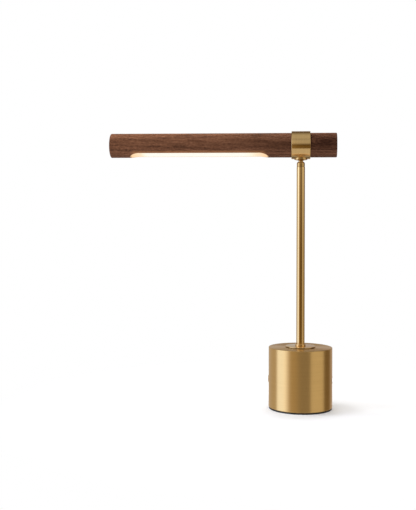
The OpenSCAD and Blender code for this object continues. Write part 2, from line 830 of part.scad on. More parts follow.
module usb_contacts() {
    under = port_z + usb_h / 2 - usb_tongue_drop - usb_tongue_t;
    start = usb_back + usb_wall + usb_block_l;
    color([0.9, 0.75, 0.35]) for (i = [0 : usb_contact_n - 1])
        translate([start, (i - (usb_contact_n - 1) / 2) * usb_contact_pitch - usb_contact_w / 2,
            under - usb_contact_t]) cube([usb_contact_l, usb_contact_w, usb_contact_t]);
}

module usb_ring() {
    color(brass) difference() {
        union() {
            intersection() {
                drum_band(base_r, base_r + ring_proud);
                translate([0, 0, port_z]) along_x(0, base_r + over)
                    soft_rect(usb_out_w + 2 * usb_neck + 2 * usb_flange,
                        usb_out_h + 2 * usb_neck + usb_flange / 2, usb_ring_round);
            }
            intersection() {
                drum_band(shell_r - ring_depth, base_r + ring_proud);
                translate([0, 0, port_z]) along_x(0, base_r + over)
                    soft_rect(usb_out_w + 2 * usb_neck, usb_out_h + 2 * usb_neck, usb_ring_round);
            }
        }
        translate([0, 0, port_z]) along_x(0, base_r + over)
            square([usb_out_w + 2 * loose_fit, usb_out_h + 2 * loose_fit], center = true);
    }
}

module inlet_body() {
    color(black) difference() {
        union() {
            at_inlet() cylinder(r = inlet_nose_d / 2, h = inlet_face);
            translate([-inlet_w / 2, inlet_front - inlet_l, board_top]) cube([inlet_w, inlet_l, inlet_h]);
        }
        translate([-inlet_w, -base_r, board_z]) cube([2 * inlet_w, base_r + inlet_front - inlet_l, base_h]);
        at_inlet() translate([0, 0, inlet_face - inlet_depth]) cylinder(d = inlet_bore, h = inlet_depth + over);
        at_inlet() translate([0, 0, inlet_face - inlet_depth - over])
            cylinder(d = inlet_pin_d, h = inlet_depth);
    }
}

module inlet_pin() {
    color(steel) at_inlet() translate([0, 0, inlet_face - inlet_depth - over])
        cylinder(d = inlet_pin_d, h = over + inlet_pin_l);
}

module inlet_ring() {
    color(brass) at_inlet() difference() {
        union() {
            translate([0, 0, shell_r - inlet_ring_depth])
                cylinder(r = inlet_ring_r + inlet_neck, h = shell_wall + inlet_ring_depth + ring_proud);
            intersection() {
                cylinder(r = inlet_ring_r + inlet_neck + inlet_flange, h = base_r + over);
                rotate([90, 0, 0]) tube(base_r + ring_proud, base_r, -base_h, 2 * base_h);
            }
        }
        cylinder(r = inlet_ring_r, h = base_r + 2 * over);
    }
}

module lead_plug() {
    color([0.93, 0.92, 0.88]) translate([-plug_w / 2, -plug_w / 2, board_top]) cube([plug_w, plug_w, plug_h]);
}

foot_pad();
base_plate();
base_screws();
base_weight();
base_shell();
pillars();
clamp_plate();
clamp_washer();
clamp_nut();
nipple();
pole_disc();
pole_bead();
pole_tube();
swivel_bush();
seam_washer();
circuit_board();
board_standoffs();
board_screws();
control_chips();
capacitors();
power_coil();
switch_body();
button_ring();
usb_shell();
usb_tongue();
usb_contacts();
usb_ring();
inlet_body();
inlet_pin();
inlet_ring();
lead_plug();
pole_lead();
swivel_stem();
saddle();
collar_ring();
collar_liner();
stop_pin();
disc_springs();
spindle_nut();
head_lead();
walnut_bar();
light_channel();
light_board();
light_emitters();
light_cover();
channel_screws();
bar_lead();
button_cap();
button_plunger();
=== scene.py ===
import math

import bmesh
import bpy
from mathutils import Matrix, Vector


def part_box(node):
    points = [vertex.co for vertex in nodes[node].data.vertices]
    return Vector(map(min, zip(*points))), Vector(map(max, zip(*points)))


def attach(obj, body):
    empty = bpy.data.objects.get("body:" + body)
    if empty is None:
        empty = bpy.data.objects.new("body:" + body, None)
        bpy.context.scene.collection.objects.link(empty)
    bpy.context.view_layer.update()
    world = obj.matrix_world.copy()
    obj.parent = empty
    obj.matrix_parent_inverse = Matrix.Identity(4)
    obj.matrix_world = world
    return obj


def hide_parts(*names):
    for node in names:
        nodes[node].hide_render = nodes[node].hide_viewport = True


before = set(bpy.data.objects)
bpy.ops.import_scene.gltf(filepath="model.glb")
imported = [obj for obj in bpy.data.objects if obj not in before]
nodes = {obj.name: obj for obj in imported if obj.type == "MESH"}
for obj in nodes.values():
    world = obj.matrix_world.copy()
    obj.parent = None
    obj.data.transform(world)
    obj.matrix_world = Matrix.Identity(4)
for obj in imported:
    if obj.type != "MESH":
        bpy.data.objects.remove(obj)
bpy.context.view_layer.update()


def boxOf(node):
    low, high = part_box(node)
    return low, high, (low + high) / 2


# Sizes that several pieces share, measured on the frame
collarLow, collarHigh, collarMiddle = boxOf("collar_ring")
barLow, barHigh = boxOf("walnut_bar")[:2]
barAxisZ = collarMiddle.z
barRadius = (barHigh.y - barLow.y) / 2
barRoll = math.radians(12)  # how far the light faces to the front of straight down
toBar = Matrix.Translation((0, 0, barAxisZ)) @ Matrix.Rotation(-barRoll, 4, "X")
fromBar = toBar.inverted()


# Lowest and highest corner of a node in the bar's own, unrolled frame
def boxInBar(node):
    points = [fromBar @ v.co for v in nodes[node].data.vertices]
    low = Vector([min(p[i] for p in points) for i in range(3)])
    high = Vector([max(p[i] for p in points) for i in range(3)])
    return low, high


print("frame loaded,", len(nodes), "pieces")

# Camera, where the photograph was taken from
cameraValues = {
    "azimuth": 5.611,
    "elevation": -1.261,
    "tilt": 0.273,
    "place": (-0.009306, -1.127815, 0.237673),
    "focalPixels": 870.52,
    "frameHeightPixels": 510,
    "shiftPixels": -52,
    "sensor": 36,
}


def makeCamera(v):
    azimuth, elevation, tilt = (math.radians(v[k]) for k in ("azimuth", "elevation", "tilt"))
    back = Vector((math.sin(azimuth) * math.cos(elevation),
                   -math.cos(azimuth) * math.cos(elevation), math.sin(elevation)))
    level = Vector((math.cos(azimuth), math.sin(azimuth), 0))
    upright = back.cross(level)
    right = level * math.cos(tilt) + upright * math.sin(tilt)
    up = upright * math.cos(tilt) - level * math.sin(tilt)
    data = bpy.data.cameras.new("camera")
    data.sensor_width = v["sensor"]
    data.lens = v["focalPixels"] / v["frameHeightPixels"] * v["sensor"]
    data.shift_y = v["shiftPixels"] / v["frameHeightPixels"]
    camera = bpy.data.objects.new("camera", data)
    turn = Matrix((right, up, back)).transposed().to_4x4()
    camera.matrix_world = Matrix.Translation(v["place"]) @ turn
    bpy.context.scene.collection.objects.link(camera)
    bpy.context.scene.camera = camera


makeCamera(cameraValues)
bpy.context.scene.view_settings.view_transform = "Standard"
print("camera placed")


# A Wire is a socket that adds, multiplies and compares like a number
class Wire:
    def __init__(self, tree, socket):
        self.tree = tree
        self.socket = socket

    def join(self, operation, *others, flip=False):
        values = [self, *others]
        if flip:
            values.reverse()
        return self.tree.node("ShaderNodeMath", {"operation": operation}, dict(enumerate(values)))

    def __add__(self, other):
        return self.join("ADD", other)

    def __sub__(self, other):
        return self.join("SUBTRACT", other)

    def __rsub__(self, other):
        return self.join("SUBTRACT", other, flip=True)

    def __mul__(self, other):
        return self.join("MULTIPLY", other)

    def __truediv__(self, other):
        return self.join("DIVIDE", other)

    def __pow__(self, other):
        return self.join("POWER", other)

    __radd__ = __add__
    __rmul__ = __mul__


# A tree of nodes that is being drawn: a finish, the room's light, or a shape
class Tree:
    def __init__(self, nodeTree):
        self.nodeTree = nodeTree
        nodeTree.nodes.clear()

    # Adds one node: its settings first, and then the values or links of its sockets
    def node(self, kind, settings=None, sockets=None, out=0):
        made = self.nodeTree.nodes.new(kind)
        for key, value in (settings or {}).items():
            if key == "stops":
                self.setStops(made.color_ramp, value)
            else:
                setattr(made, key, value)
        for key, value in (sockets or {}).items():
            for one in value if isinstance(value, list) else [value]:
                if isinstance(one, Wire):
                    self.nodeTree.links.new(one.socket, made.inputs[key])
                else:
                    made.inputs[key].default_value = one
        if isinstance(out, tuple):
            return [Wire(self, made.outputs[i]) for i in out]
        return Wire(self, made.outputs[out]) if made.outputs else None

    @staticmethod
    def setStops(ramp, stops):
        while len(ramp.elements) < len(stops):
            ramp.elements.new(0.5)
        for element, (position, colour) in zip(ramp.elements, stops):
            element.position = position
            element.color = (*colour, 1)

    def place(self, location=(0, 0, 0), rotation=(0, 0, 0)):
        here = self.node("ShaderNodeTexCoord", out=3)
        return self.node("ShaderNodeMapping", None, {0: here, 1: location, 2: rotation})

    # Place in the bar's own frame, along it, across it and up
    def placeInBar(self):
        lift = (0, barAxisZ * math.sin(barRoll), -barAxisZ * math.cos(barRoll))
        return self.place(lift, (barRoll, 0, 0))

    def split(self, vector):
        return self.node("ShaderNodeSeparateXYZ", None, {0: vector}, out=(0, 1, 2))

    def joinUp(self, x, y, z):
        return self.node("ShaderNodeCombineXYZ", None, {0: x, 1: y, 2: z})

    def noise(self, vector, scale=1.0, detail=2.0, rough=0.5):
        return self.node("ShaderNodeTexNoise", None,
                         {"Vector": vector, "Scale": scale, "Detail": detail, "Roughness": rough})

    def ease(self, value, low, high, start=0.0, end=1.0):
        return self.node("ShaderNodeMapRange", {"interpolation_type": "SMOOTHSTEP"},
                         {0: value, 1: low, 2: high, 3: start, 4: end})

    def slide(self, value, low, high, start=0.0, end=1.0):
        return self.node("ShaderNodeMapRange", None, {0: value, 1: low, 2: high, 3: start, 4: end})

    def ramp(self, value, stops):
        return self.node("ShaderNodeValToRGB", {"stops": stops}, {0: value})

    # Colour of a mottled surface, from dark to light around the middle of its noise
    def mottle(self, tone, dark, light, spread=0.2):
        return self.ramp(tone, [(0.5 - spread, dark), (0.5 + spread, light)])

    def blend(self, share, first, second):
        colours = {key: value if isinstance(value, Wire) else (*value, 1)
                   for key, value in ((6, first), (7, second))}
        return self.node("ShaderNodeMix", {"data_type": "RGBA"}, {0: share, **colours}, out=2)

    def bump(self, height, strength, depth):
        return self.node("ShaderNodeBump", None,
                         {"Height": height, "Strength": strength, "Distance": depth})


finishes = {}


# A finish with one Principled surface; recipe returns the values and links of its sockets
def makeFinish(name, recipe, **values):
    material = bpy.data.materials.new(name)
    material.use_nodes = True
    tree = Tree(material.node_tree)
    surface = tree.node("ShaderNodeBsdfPrincipled", None, recipe(tree, values))
    tree.node("ShaderNodeOutputMaterial", None, {0: surface})
    finishes[name] = material


# Scratches in brass: fine ones and broad ones, long in the direction they were cut
scratchValues = {
    "fineShare": 0.6,
    "broadScale": 0.13,
    "cloudShare": 0.3,
    "bumpDepth": 0.00001,
    "grooveSoft": 0.00001,
}


def scratchTone(tree, placeAt, s=scratchValues):
    fine = tree.noise(placeAt(1), 1, 3, 0.6)
    broad = tree.noise(placeAt(s["broadScale"]), 1, 2)
    return fine * s["fineShare"] + broad * (1 - s["fineShare"])


# The parts of a brass surface that every kind of brass shares
def brassSurface(tree, v, scratches, colourTone, s=scratchValues):
    return {
        "Base Color": tree.mottle(colourTone, v["dark"], v["light"]),
        "Metallic": 1.0,
        "Roughness": scratches * v["roughSpread"] + (v["rough"] - v["roughSpread"] / 2),
        "Normal": tree.bump(scratches, v["bumpStrength"], s["bumpDepth"]),
    }


# Brass brushed or turned around an upright axis: the scratches run around it
def aroundZ(tree, v, s=scratchValues):
    x, y, z = tree.split(tree.place())
    across = ((x * x + y * y) ** 0.5 + z) * v["linesPerMetre"]
    scratches = scratchTone(tree, lambda k: tree.joinUp(x * v["along"], y * v["along"], across * k))
    cloud = tree.noise(tree.place(), v["cloudsPerMetre"], 2)
    colourTone = scratches * (1 - s["cloudShare"]) + cloud * s["cloudShare"]
    surface = brassSurface(tree, v, scratches, colourTone)
    # Painted shadow: below the groove's top the colour turns near black, standing in for the shade under
    # the seat disc's rim
    if "grooveTop" in v:
        groove = tree.slide(z, v["grooveTop"] + s["grooveSoft"], v["grooveTop"] - s["grooveSoft"])
        surface["Base Color"] = tree.blend(groove, surface["Base Color"], v["grooveColour"])
    surface["Anisotropic"] = v["stretch"]
    surface["Anisotropic Rotation"] = 0.25  # the highlight is drawn out up and down
    return surface


# Brass brushed around the bar's axis
def aroundX(tree, v):
    x, y, z = tree.split(tree.place((0, 0, -barAxisZ)))
    across = (x + (y * y + z * z) ** 0.5) * v["linesPerMetre"]
    scratches = scratchTone(tree, lambda k: tree.joinUp(across * k, y * v["along"], z * v["along"]))
    return brassSurface(tree, v, scratches, scratches)


brassTones = {"dark": (0.70, 0.455, 0.19), "light": (0.80, 0.535, 0.235)}
turning = {"linesPerMetre": 4200, "along": 12, "cloudsPerMetre": 25}
polish = {**brassTones, **turning, "rough": 0.06, "roughSpread": 0.02, "stretch": 0.0,
          "bumpStrength": 0.04}
makeFinish("brushedBrass", aroundZ, dark=(0.70, 0.445, 0.170), light=(0.80, 0.523, 0.210),
           linesPerMetre=3200, along=25, cloudsPerMetre=18, rough=0.34, roughSpread=0.10,
           stretch=0.85, bumpStrength=0.25)
makeFinish("turnedBrass", aroundZ, **brassTones, **turning, rough=0.11, roughSpread=0.03, stretch=0.5,
           bumpStrength=0.04)
makeFinish("polishedBrass", aroundZ, **polish)
# The pole's seat: a thin disc on a narrower step, where a near-black painted shadow line stands in for
# the shade under the disc's rim
seatLow, seatHigh = boxOf("pole_disc")[:2]
seatValues = {"edge": 0.0005, "edgeSteps": 5, "stepInset": 0.0010, "stepHeight": 0.0006, "steps": 144}
makeFinish("seatBrass", aroundZ, **polish, grooveTop=seatLow.z + seatValues["stepHeight"],
           grooveColour=(0.012, 0.006, 0.003))
# Painted shade: a darker copy of the turned brass for the stem and the saddle, standing in for the shade
# that the collar throws on them
makeFinish("shadedStemBrass", aroundZ, **turning, dark=(0.48, 0.29, 0.105), light=(0.58, 0.365, 0.14),
           rough=0.12, roughSpread=0.04, stretch=0.3, bumpStrength=0.1)
makeFinish("bandBrass", aroundX, **brassTones, linesPerMetre=3200, along=25, rough=0.17,
           roughSpread=0.08, bumpStrength=0.2)
makeFinish("machinedBrass", aroundZ, dark=(0.42, 0.27, 0.1), light=(0.6, 0.4, 0.17),
           linesPerMetre=2600, along=30, cloudsPerMetre=40, rough=0.34, roughSpread=0.1, stretch=0.4,
           bumpStrength=0.3)

# The flat along the bar's foot, which the walnut's painted glow follows too
barShape = {
    "edge": 0.0012,
    "flatDepth": 0.0033,
    "flatInset": 0.025,
    "flatGap": 0.0406,
    "rampRadius": 0.0325,
}
flatZ = barShape["flatDepth"] - barRadius
rampHeight = barShape["rampRadius"] - barShape["flatDepth"]
rampLength = math.sqrt(barShape["rampRadius"] ** 2 - rampHeight ** 2)
flatStart = barLow.x + barShape["flatInset"] + rampLength
flatEnd = -barShape["flatGap"] - rampLength
coverLow, coverHigh = boxInBar("light_cover")

# Walnut: growth rings cut lengthways, fibre streaks, pores, and the light's glow painted on the cut wood
# as emission
walnutValues = {
    "pith": (0.024, -0.016),  # the heart of the tree, across from the bar's axis and below it
    "pithDrift": (0.02, -0.018),
    "ringSpacing": 0.0036,
    "ringSwing": 0.010,
    "ringTone": 0.07,
    "lateWood": (0.2, 0.9, 0.93),  # in each ring, where the dark wood starts, is full and ends
    "swingGrain": (9, 30),  # each grain is counted per metre, along the bar and across it
    "streakGrain": (30, 420),
    "fibreGrain": (90, 1500),
    "fleckGrain": (330, 640),
    "broadGrain": (8, 110),
    "poreGrain": (150, 2600),
    "streakShare": 0.55,
    "fibreShare": 0.30,
    "fleckShare": 0.45,
    "broadShare": 0.35,
    "toneShift": 0.27,
    "poreEdge": (0.60, 0.70),
    "poreShade": 0.5,
    "poreDepth": 0.6,
    "knot": (0.032, -0.0004, 0.0115, 0.0045),  # along, up, half its length and half its height
    "knotRings": (2.2, 2.6),  # how far they reach, in the knot's own size, and how many
    "knotLateWood": (4, 1.5, 2.5),
    "knotCore": (1.5, 0.3),
    "dark": (0.052, 0.020, 0.010),
    "middle": (0.176, 0.073, 0.037),
    "light": (0.332, 0.150, 0.083),
    "toneStops": (0.30, 0.54, 0.80),
    "rightFrom": (-0.185, 0.02),
    "rightShade": 0.68,
    "rightColour": (0.024, 0.0062, 0.0022),
    "rightRim": (0.005, 0.0145, 0.55),  # the shade eases off to this share between these heights
    "knotShade": 0.5,
    "knotColour": (0.016, 0.0035, 0.0015),
    # The cover's light on the cut wood, painted as emission: its colours, strength and reach
    "glowLip": (0.40, 0.20, 0.08),
    "glowSpill": (0.16, 0.07, 0.022),
    "glowNear": (1.0, 0.84, 0.60),
    "glowFar": (1.0, 0.64, 0.31),
    "glowStrength": 0.9,
    "glowReach": (1.04, 0.72),  # along each ramp, from where it is out to where it is full
    "cutUnderRim": (0.00015, 0.0006),
    "cutHeight": (-0.010, -0.0115),
    "lipHalf": 0.0002,
    "lipEnd": 0.03,
    "spillHeight": 0.003,
    "spillReach": (0.9, 0.3),
    "specular": 0.08,
    "rough": 0.46,
    "roughSpread": 0.16,
    "bumpStrength": 0.35,
    "bumpDepth": 0.00010,
}


def walnutWood(tree, v):
    x, y, z = tree.split(tree.placeInBar())
    pithY, pithZ = v["pith"]
    driftY, driftZ = v["pithDrift"]
    dy = y - pithY - x * driftY
    dz = z - pithZ - x * driftZ

    def grain(name, first, second, detail, rough=0.5):
        along, across = v[name]
        return tree.noise(tree.joinUp(x * along, first * across, second * across), 1, detail, rough)

    # Growth rings, which bend round the knot near the right end
    knotX, knotZ, knotLong, knotTall = v["knot"]
    alongKnot = (x - knotX) / knotLong
    acrossKnot = (z - knotZ) / knotTall
    knot = (alongKnot * alongKnot + acrossKnot * acrossKnot) ** 0.5
    swing = grain("swingGrain", y, z, 3) - 0.5
    rings = ((dy * dy + dz * dz) ** 0.5 + swing * v["ringSwing"]) / v["ringSpacing"]
    knotReach, knotCount = v["knotRings"]
    rings = (rings + tree.ease(knot, 0, knotReach, knotCount, 0)).join("FRACT")
    lateFrom, lateFull, lateEnd = v["lateWood"]
    lateWood = tree.ease(rings, lateFrom, lateFull) * tree.ease(rings, 1.0, lateEnd)
    outside, inside, bunched = v["knotLateWood"]
    lateWood = lateWood * tree.ease(knot, outside, inside, 1, bunched)
    # Tone from streaks, fibres, flecks and broad bands
    streaks = grain("streakGrain", dy, dz, 4, 0.62)
    fibres = grain("fibreGrain", dy, dz, 2, 0.6)
    flecks = grain("fleckGrain", y, z, 2, 0.6)
    broad = grain("broadGrain", dy, dz, 3)
    tone = streaks * v["streakShare"] + fibres * v["fibreShare"] + flecks * v["fleckShare"] \
        + broad * v["broadShare"] - lateWood * v["ringTone"] - v["toneShift"]
    colour = tree.ramp(tone, list(zip(v["toneStops"], (v["dark"], v["middle"], v["light"]))))
    pores = tree.ease(grain("poreGrain", y, z, 1), *v["poreEdge"])
    colour = tree.blend(pores * v["poreShade"], colour, v["dark"])
    # The right end is darker, most at the middle of its height and in the knot
    rimFrom, rimTo, rimShare = v["rightRim"]
    shade = tree.slide(x, *v["rightFrom"], 0.0, v["rightShade"])
    shade = shade * tree.ease(z.join("ABSOLUTE"), rimFrom, rimTo, 1, rimShare)
    colour = tree.blend(shade, colour, v["rightColour"])
    colour = tree.blend(tree.ease(knot, *v["knotCore"]) * v["knotShade"], colour, v["knotColour"])
    # Painted light: the cover's light on the cut wood around it is painted as emission, more where it is
    # near the light
    rim = (y * y + z * z) ** 0.5
    skinEnd, woodFull = v["cutUnderRim"]
    cut = tree.ease(rim, barRadius - skinEnd, barRadius - woodFull) * tree.ease(z, *v["cutHeight"])
    past = tree.slide(x, flatStart, flatStart - rampLength) \
        + tree.slide(x, flatEnd, flatEnd + rampLength)
    reach = cut * tree.ease(past, *v["glowReach"])
    glow = tree.blend(past, v["glowNear"], v["glowFar"])
    lip = tree.ease(y, coverLow.y + v["lipHalf"], coverLow.y - v["lipHalf"])
    glow = tree.blend(lip * tree.ease(past, v["lipEnd"], 0.0), glow, v["glowLip"])
    # A little of this painted light spills round the soft edge of the flat
    spill = tree.ease(z, flatZ + v["spillHeight"], flatZ) * (1 - cut)
    spill = tree.blend(spill * tree.ease(past, *v["spillReach"]), (0, 0, 0), v["glowSpill"])
    return {
        "Base Color": colour,
        "Roughness": streaks * v["roughSpread"] + v["rough"],
        "Specular IOR Level": v["specular"],
        "Emission Color": tree.blend(reach, spill, glow),
        "Emission Strength": v["glowStrength"],
        "Normal": tree.bump(tone - pores * v["poreDepth"], v["bumpStrength"], v["bumpDepth"]),
    }


makeFinish("walnut", walnutWood, **walnutValues)


# Moulded, painted and cast surfaces: one colour with a little drift, and a fine skin
skinValues = {
    "patchesPerMetre": 60,
    "grainPerMetre": 2500,
    "drift": 0.12,
    "metal": 0.0,
    "roughSpread": 0.12,
    "bumpStrength": 0.15,
    "depth": 0.00002,
}


def skin(tree, given):
    v = {**skinValues, **given}
    patches = tree.noise(tree.place(), v["patchesPerMetre"], 3)
    grain = tree.noise(tree.place(), v["grainPerMetre"], 2)
    dark = tuple(c * (1 - v["drift"]) for c in v["colour"])
    light = tuple(min(1, c * (1 + v["drift"])) for c in v["colour"])
    return {
        "Base Color": tree.mottle(patches, dark, light, 0.15),
        "Metallic": v["metal"],
        "Roughness": grain * v["roughSpread"] + (v["rough"] - v["roughSpread"] / 2),
        "Normal": tree.bump(grain, v["bumpStrength"], v["depth"]),
    }


makeFinish("blackRubber", skin, colour=(0.018, 0.017, 0.016), rough=0.75, bumpStrength=0.4,
           depth=0.00006)
makeFinish("blackPlate", skin, colour=(0.03, 0.03, 0.033), rough=0.42, metal=0.7, drift=0.25)
makeFinish("castIron", skin, colour=(0.07, 0.07, 0.075), rough=0.7, metal=0.3, grainPerMetre=900,
           bumpStrength=0.8, depth=0.0002, drift=0.25)
makeFinish("zincSteel", skin, colour=(0.58, 0.58, 0.60), rough=0.3, metal=1.0, patchesPerMetre=300)
makeFinish("blackPlastic", skin, colour=(0.02, 0.02, 0.021), rough=0.5)
makeFinish("whitePlastic", skin, colour=(0.78, 0.76, 0.7), rough=0.42, drift=0.04)
makeFinish("linerSheet", skin, colour=(0.03, 0.024, 0.02), rough=0.55)
makeFinish("aluminium", skin, colour=(0.66, 0.67, 0.69), rough=0.38, metal=1.0, drift=0.06)
makeFinish("whiteBoard", skin, colour=(0.8, 0.8, 0.76), rough=0.45, drift=0.03)
makeFinish("goldFlash", skin, colour=(0.9, 0.62, 0.2), rough=0.22, metal=1.0, drift=0.05)
makeFinish("canSleeve", skin, colour=(0.03, 0.04, 0.11), rough=0.3, drift=0.2)
makeFinish("leadJacket", skin, colour=(0.72, 0.7, 0.65), rough=0.5, drift=0.05)


# A circuit board: copper traces show through the mask as a paler net
def boardMask(tree, v):
    cell = tree.node("ShaderNodeTexVoronoi", {"feature": "DISTANCE_TO_EDGE"},
                     {"Vector": tree.place(), "Scale": v["tracesPerMetre"]})
    traces = tree.ease(cell, *v["traceEdge"])
    weave = tree.noise(tree.place(), v["weavePerMetre"], 1)
    return {
        "Base Color": tree.ramp(traces, [(0.0, v["trace"]), (1.0, v["mask"])]),
        "Roughness": weave * v["roughSpread"] + v["rough"],
        "Normal": tree.bump(traces, v["bumpStrength"], v["bumpDepth"]),
    }


makeFinish("greenBoard", boardMask, tracesPerMetre=260, traceEdge=(0.05, 0.09), weavePerMetre=1800,
           mask=(0.008, 0.07, 0.028), trace=(0.02, 0.14, 0.06), rough=0.3, roughSpread=0.1,
           bumpStrength=0.2, bumpDepth=0.00003)


# Enamelled wire, wound close around an upright core
def windings(tree, v):
    z = tree.split(tree.place())[2]
    turns = (z * v["turnsPerMetre"]).join("SINE")
    return {
        "Base Color": tree.ramp(turns * 0.5 + 0.5, [(0.0, v["dark"]), (1.0, v["light"])]),
        "Metallic": v["metal"],
        "Roughness": turns * v["roughSpread"] + v["rough"],
        "Normal": tree.bump(turns, v["bumpStrength"], v["bumpDepth"]),
    }


makeFinish("copperWindings", windings, turnsPerMetre=12000, dark=(0.16, 0.05, 0.015),
           light=(0.5, 0.2, 0.07), metal=0.8, rough=0.3, roughSpread=0.05, bumpStrength=0.8,
           bumpDepth=0.0001)


# The diodes' yellow silicone, and the opal cover that they light
def phosphor(tree, v):
    speckle = tree.noise(tree.place(), v["specklesPerMetre"], 2)
    return {
        "Base Color": tree.mottle(speckle, v["dark"], v["light"]),
        "Roughness": speckle * v["roughSpread"] + v["rough"],
        "Emission Color": tree.mottle(speckle, v["glowDark"], v["glowLight"]),
        "Emission Strength": v["strength"],
    }


makeFinish("phosphor", phosphor, specklesPerMetre=6000, dark=(0.75, 0.5, 0.1), light=(0.95, 0.75, 0.25),
           rough=0.25, roughSpread=0.1, glowDark=(1.0, 0.72, 0.3), glowLight=(1.0, 0.84, 0.5),
           strength=2.0)

coverValues = {
    "body": (0.30, 0.29, 0.26),
    "drift": 0.05,
    "hazePerMetre": 900,
    "rough": 0.45,
    "roughSpread": 0.1,
    "edge": (0.80, 0.60, 0.36),
    "far": (0.95, 0.74, 0.46),
    "near": (1.0, 0.90, 0.68),
    "nearAt": 0.45,
    "bright": (0.98, 0.955, 0.85),
    "strength": 0.78,
    "edgeFade": 0.0008,
    "leftFade": 0.009,
    "rightFade": 0.018,
}


def opal(tree, v):
    x, y = tree.split(tree.placeInBar())[:2]
    ends = tree.slide(x, coverLow.x, coverLow.x + v["leftFade"]) \
        * tree.slide(x, coverHigh.x, coverHigh.x - v["rightFade"])
    front = tree.slide(y, coverLow.y, coverLow.y + v["edgeFade"])
    haze = tree.noise(tree.place(), v["hazePerMetre"], 2)
    glow = tree.ramp(ends, [(0.0, v["far"]), (v["nearAt"], v["near"]), (1.0, v["bright"])])
    dim = tuple(c * (1 - v["drift"]) for c in v["body"])
    return {
        "Base Color": tree.mottle(haze, dim, v["body"]),
        "Roughness": haze * v["roughSpread"] + v["rough"],
        "Emission Color": tree.blend(front, v["edge"], glow),
        "Emission Strength": v["strength"],
    }


makeFinish("opalCover", opal, **coverValues)
print("finishes painted:", len(finishes))

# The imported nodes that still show, by finish
finishOf = {
    "brushedBrass": ["base_shell"],
    "turnedBrass": ["pole_tube", "button_ring", "usb_ring", "inlet_ring", "button_cap"],
    "shadedStemBrass": ["swivel_stem", "saddle"],
    "machinedBrass": ["nipple", "swivel_bush", "board_standoffs"],
    "blackPlate": ["base_plate"],
    "castIron": ["base_weight"],
    "zincSteel": ["base_screws", "pillars", "clamp_plate", "clamp_washer", "clamp_nut", "board_screws",
                  "usb_shell", "inlet_pin", "stop_pin", "disc_springs", "spindle_nut", "channel_screws"],
    "blackPlastic": ["seam_washer", "control_chips", "switch_body", "inlet_body"],
    "whitePlastic": ["usb_tongue", "lead_plug", "button_plunger"],
    "linerSheet": ["collar_liner"],
    "aluminium": ["light_channel"],
    "greenBoard": ["circuit_board"],
    "whiteBoard": ["light_board"],
    "canSleeve": ["capacitors"],
    "copperWindings": ["power_coil"],
    "leadJacket": ["pole_lead", "head_lead", "bar_lead"],
    "opalCover": ["light_cover"],
}
for finishName, names in finishOf.items():
    for name in names:
        slots = nodes[name].data.materials
        slots.clear()
        slots.append(finishes[finishName])


meshValues = {"sharpAngle": 35, "mergeWithin": 0.000002, "shortest": 0.000001, "point": 1e-7}


# Merges doubles, turns the faces outwards, and shades smoothly up to an edge's angle
def tidyMesh(mesh, v=meshValues):
    work = bmesh.new()
    work.from_mesh(mesh)
    bmesh.ops.remove_doubles(work, verts=work.verts, dist=v["mergeWithin"])
    bmesh.ops.dissolve_degenerate(work, edges=work.edges, dist=v["shortest"])
    bmesh.ops.recalc_face_normals(work, faces=work.faces)
    if work.calc_volume(signed=True) < 0:
        bmesh.ops.reverse_faces(work, faces=work.faces)
    work.to_mesh(mesh)
    work.free()
    mesh.shade_smooth()
    mesh.set_sharp_from_angle(angle=math.radians(v["sharpAngle"]))


def keepPiece(piece, body, replaced):
    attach(piece, body)
    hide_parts(replaced)


# Grows a piece from a node tree with named sizes, and keeps the result as a plain mesh
def growPiece(name, sizes, recipe, finish, body, replaced):
    nodeTree = bpy.data.node_groups.new(name + "Tree", "GeometryNodeTree")
    nodeTree.interface.new_socket(name="Shape", in_out="OUTPUT", socket_type="NodeSocketGeometry")
    for key, value in sizes.items():
        kind = "NodeSocketInt" if isinstance(value, int) else "NodeSocketFloat"
        nodeTree.interface.new_socket(name=key, in_out="INPUT", socket_type=kind)
    tree = Tree(nodeTree)
    given = nodeTree.nodes.new("NodeGroupInput")
    wires = {key: Wire(tree, given.outputs[key]) for key in sizes}
    whole = tree.node("GeometryNodeRealizeInstances", None, {0: recipe(tree, wires)})
    painted = tree.node("GeometryNodeSetMaterial", None,
                        {"Geometry": whole, "Material": finishes[finish]})
    tree.node("NodeGroupOutput", None, {"Shape": painted})
    piece = bpy.data.objects.new(name, bpy.data.meshes.new(name))
    bpy.context.scene.collection.objects.link(piece)
    modifier = piece.modifiers.new("grow", "NODES")
    modifier.node_group = nodeTree
    for item in nodeTree.interface.items_tree:
        if item.in_out == "INPUT":
            modifier[item.identifier] = sizes[item.name]
    evaluated = piece.evaluated_get(bpy.context.evaluated_depsgraph_get())
    mesh = bpy.data.meshes.new_from_object(evaluated)
    piece.modifiers.remove(modifier)
    piece.data = mesh
    tidyMesh(mesh)
    keepPiece(piece, body, replaced)


# Rolls a shape that was drawn in the bar's own frame to where the bar is at rest
def setInBar(tree, shape):
    return tree.node("GeometryNodeTransform", None,
                     {"Geometry": shape, "Translation": (0, 0, barAxisZ), "Rotation": (-barRoll, 0, 0)})


